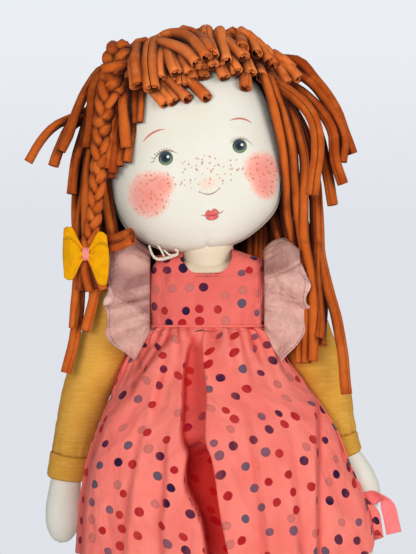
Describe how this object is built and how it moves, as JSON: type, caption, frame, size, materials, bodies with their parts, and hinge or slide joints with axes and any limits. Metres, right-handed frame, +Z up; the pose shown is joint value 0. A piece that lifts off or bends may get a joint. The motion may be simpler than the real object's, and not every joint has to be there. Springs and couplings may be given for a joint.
{
  "type": "rag doll",
  "caption": "Standing cloth rag doll in a dotted dress with flutter sleeves, rolled jersey hair and a braid; head, arms, legs and braid turn on joints.",
  "frame": {"origin": "middle of the doll's whole width and depth, at the floor under its shoes", "axes": "+Z up from the shoes to the crown, -Y the way the face looks, +X to the right of someone who looks at the face"},
  "size_m": [0.2268, 0.106, 0.4972],
  "materials": {
    "calico": "matte",
    "filling": "matte",
    "jersey": "matte",
    "dotted_cotton": "matte",
    "print_cotton": "matte",
    "linen": "matte",
    "mustard_cotton": "matte",
    "yellow_felt": "matte",
    "pink_ribbon": "satin",
    "cotton_cord": "matte",
    "shoe_felt": "matte",
    "shell_button": "gloss"
  },
  "bodies": {
    "torso": {"torso_skin": "calico", "torso_stuffing": "filling", "dress_bib": "dotted_cotton", "dress_back": "dotted_cotton", "back_button_lower": "shell_button", "back_button_upper": "shell_button", "strap_left": "dotted_cotton", "strap_right": "dotted_cotton", "ruffle_left": "linen", "ruffle_right": "linen", "dress_skirt": "dotted_cotton", "petticoat": "print_cotton", "tie_ribbon": "pink_ribbon", "neck_cord": "cotton_cord"},
    "neck": {"neck_skin": "calico"},
    "neck_core": {"neck_stuffing": "filling"},
    "head": {"head_face_panel": "calico", "head_back_panel": "calico", "head_stuffing": "filling", "hair_fringe": "jersey", "hair_side_left": "jersey", "hair_side_right": "jersey", "hair_back": "jersey"},
    "braid": {"braid": "jersey", "braid_bow": "yellow_felt", "braid_bow_thread": "pink_ribbon"},
    "shoulder_left": {"shirt_shoulder_left": "mustard_cotton"},
    "arm_left": {"arm_left_skin": "calico", "arm_left_stuffing": "filling", "sleeve_left": "mustard_cotton", "cuff_left": "mustard_cotton"},
    "leg_left": {"leg_left_skin": "calico", "leg_left_stuffing": "filling", "shoe_left_sole": "shoe_felt", "shoe_left_upper": "shoe_felt"},
    "shoulder_right": {"shirt_shoulder_right": "mustard_cotton"},
    "arm_right": {"arm_right_skin": "calico", "arm_right_stuffing": "filling", "sleeve_right": "mustard_cotton", "cuff_right": "mustard_cotton"},
    "leg_right": {"leg_right_skin": "calico", "leg_right_stuffing": "filling", "shoe_right_sole": "shoe_felt", "shoe_right_upper": "shoe_felt"}
  },
  "joints": [
    {"name": "neck_nod", "type": "hinge", "parent": "torso", "child": "neck", "pos_m": [-0.003, 0.003, 0.3513], "axis": [1, 0, 0], "range_deg": [-8, 8], "deforming": ["hair_side_left", "hair_side_right", "hair_back", "neck_cord", "ruffle_left", "ruffle_right", "strap_left", "strap_right"]},
    {"name": "head_turn", "type": "hinge", "parent": "neck", "child": "neck_core", "pos_m": [-0.003, 0.003, 0.3693], "axis": [0, 0, 1], "range_deg": [-30, 30], "deforming": ["braid"]},
    {"name": "head_tilt", "type": "hinge", "parent": "neck_core", "child": "head", "pos_m": [-0.003, 0.003, 0.3693], "axis": [0, 1, 0], "range_deg": [-3, 20]},
    {"name": "braid_swing", "type": "hinge", "parent": "head", "child": "braid", "pos_m": [-0.059, -0.021, 0.484], "axis": [-1, 0, 0], "range_deg": [0, 60], "deforming": ["braid_bow"]},
    {"name": "arm_raise_left", "type": "hinge", "parent": "torso", "child": "shoulder_left", "pos_m": [-0.052, 0.003, 0.345], "axis": [0, 1, 0], "range_deg": [0, 75]},
    {"name": "arm_swing_left", "type": "hinge", "parent": "shoulder_left", "child": "arm_left", "pos_m": [-0.052, 0.003, 0.345], "axis": [-1, 0, 0], "range_deg": [-40, 80], "deforming": ["shirt_shoulder_left"]},
    {"name": "arm_raise_right", "type": "hinge", "parent": "torso", "child": "shoulder_right", "pos_m": [0.046, 0.003, 0.345], "axis": [0, -1, 0], "range_deg": [0, 75]},
    {"name": "arm_swing_right", "type": "hinge", "parent": "shoulder_right", "child": "arm_right", "pos_m": [0.046, 0.003, 0.345], "axis": [-1, 0, 0], "range_deg": [-40, 80], "deforming": ["shirt_shoulder_right"]},
    {"name": "hip_left", "type": "hinge", "parent": "torso", "child": "leg_left", "pos_m": [-0.026, 0.003, 0.232], "axis": [-1, 0, 0], "range_deg": [-20, 90], "deforming": ["dress_skirt", "petticoat", "tie_ribbon"]},
    {"name": "hip_right", "type": "hinge", "parent": "torso", "child": "leg_right", "pos_m": [0.02, 0.003, 0.232], "axis": [-1, 0, 0], "range_deg": [-20, 90]}
  ]
}
